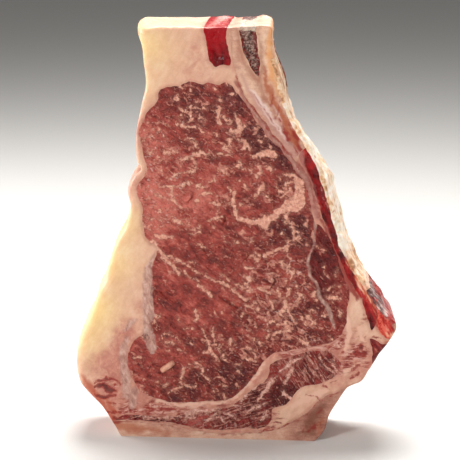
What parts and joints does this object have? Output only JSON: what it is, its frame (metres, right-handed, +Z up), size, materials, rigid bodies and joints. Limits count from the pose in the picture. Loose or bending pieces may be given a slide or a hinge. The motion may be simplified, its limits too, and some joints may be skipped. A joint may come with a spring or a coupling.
{
  "type": "club steak",
  "caption": "Raw bone-in loin steak standing on its sawn edge, with marbled eye muscle, thick cap of fat, rib bone, blood-red rib strip and sawn backbone edge.",
  "frame": {"origin": "centre of the footprint, on the plane of the sawn edge that the steak stands on", "axes": "+Z up along the steak's height, +X to the right across the shown cut face, +Y through the thickness, away from the shown cut face"},
  "size_m": [0.1578, 0.0424, 0.2035],
  "materials": {
    "lean": "raw lean meat, moist, marbled with fine fat",
    "blood_red_lean": "wet, blood-red lean",
    "fat": "firm cream fat with a soft sheen",
    "side_fat": "pale, lumpy fat under a thin moist skin",
    "bone": "sawn bone and cartilage, dull pinkish beige",
    "marrow": "dark, spongy bone core",
    "membrane": "thin grey, glossy membrane"
  },
  "bodies": {
    "root": {"eye_muscle": "lean", "shell_muscle": "lean", "lower_muscle": "lean", "edge_muscle": "lean", "cap_strip_muscle": "blood_red_lean", "intercostal_muscle": "blood_red_lean", "corner_muscle": "blood_red_lean", "fat": "fat", "rib_side_fat": "side_fat", "rib_bone": "bone", "feather_bone": "bone", "rib_marrow": "marrow", "corner_membrane": "membrane", "rear_membrane": "membrane"}
  },
  "joints": []
}
